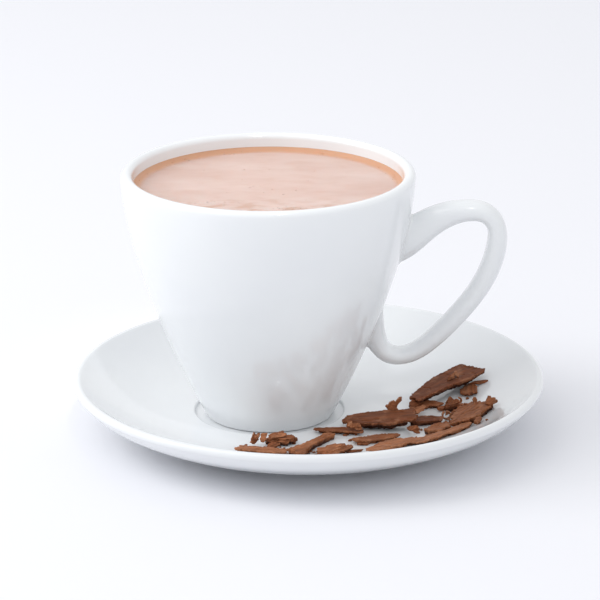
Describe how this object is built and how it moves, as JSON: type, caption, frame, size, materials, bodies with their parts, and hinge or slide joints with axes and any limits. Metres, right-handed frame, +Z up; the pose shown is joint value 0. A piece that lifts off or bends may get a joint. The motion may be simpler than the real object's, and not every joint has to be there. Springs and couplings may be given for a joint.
{
  "type": "hot chocolate",
  "caption": "Hot chocolate in a flared porcelain cup with a loop handle, on its saucer, with broken flakes of milk chocolate beside it.",
  "frame": {"origin": "centre of the saucer's foot ring, on the table", "axes": "+Z up; +X from the cup towards its handle; the cup's axis is 12.7 mm from the origin towards -X"},
  "size_m": [0.152, 0.152, 0.0863],
  "materials": {
    "porcelain": "white, clear gloss glaze",
    "cocoa_drink": null,
    "milk_chocolate": null
  },
  "bodies": {
    "root": {"saucer": "porcelain", "cup": "porcelain", "hot_chocolate": "cocoa_drink", "flake_01": "milk_chocolate", "flake_02": "milk_chocolate", "flake_03": "milk_chocolate", "flake_04": "milk_chocolate", "flake_05": "milk_chocolate", "flake_06": "milk_chocolate", "flake_07": "milk_chocolate", "flake_08": "milk_chocolate", "flake_09": "milk_chocolate", "flake_10": "milk_chocolate", "flake_11": "milk_chocolate", "flake_12": "milk_chocolate", "flake_13": "milk_chocolate", "flake_14": "milk_chocolate", "flake_15": "milk_chocolate", "flake_16": "milk_chocolate", "flake_17": "milk_chocolate"}
  },
  "joints": []
}
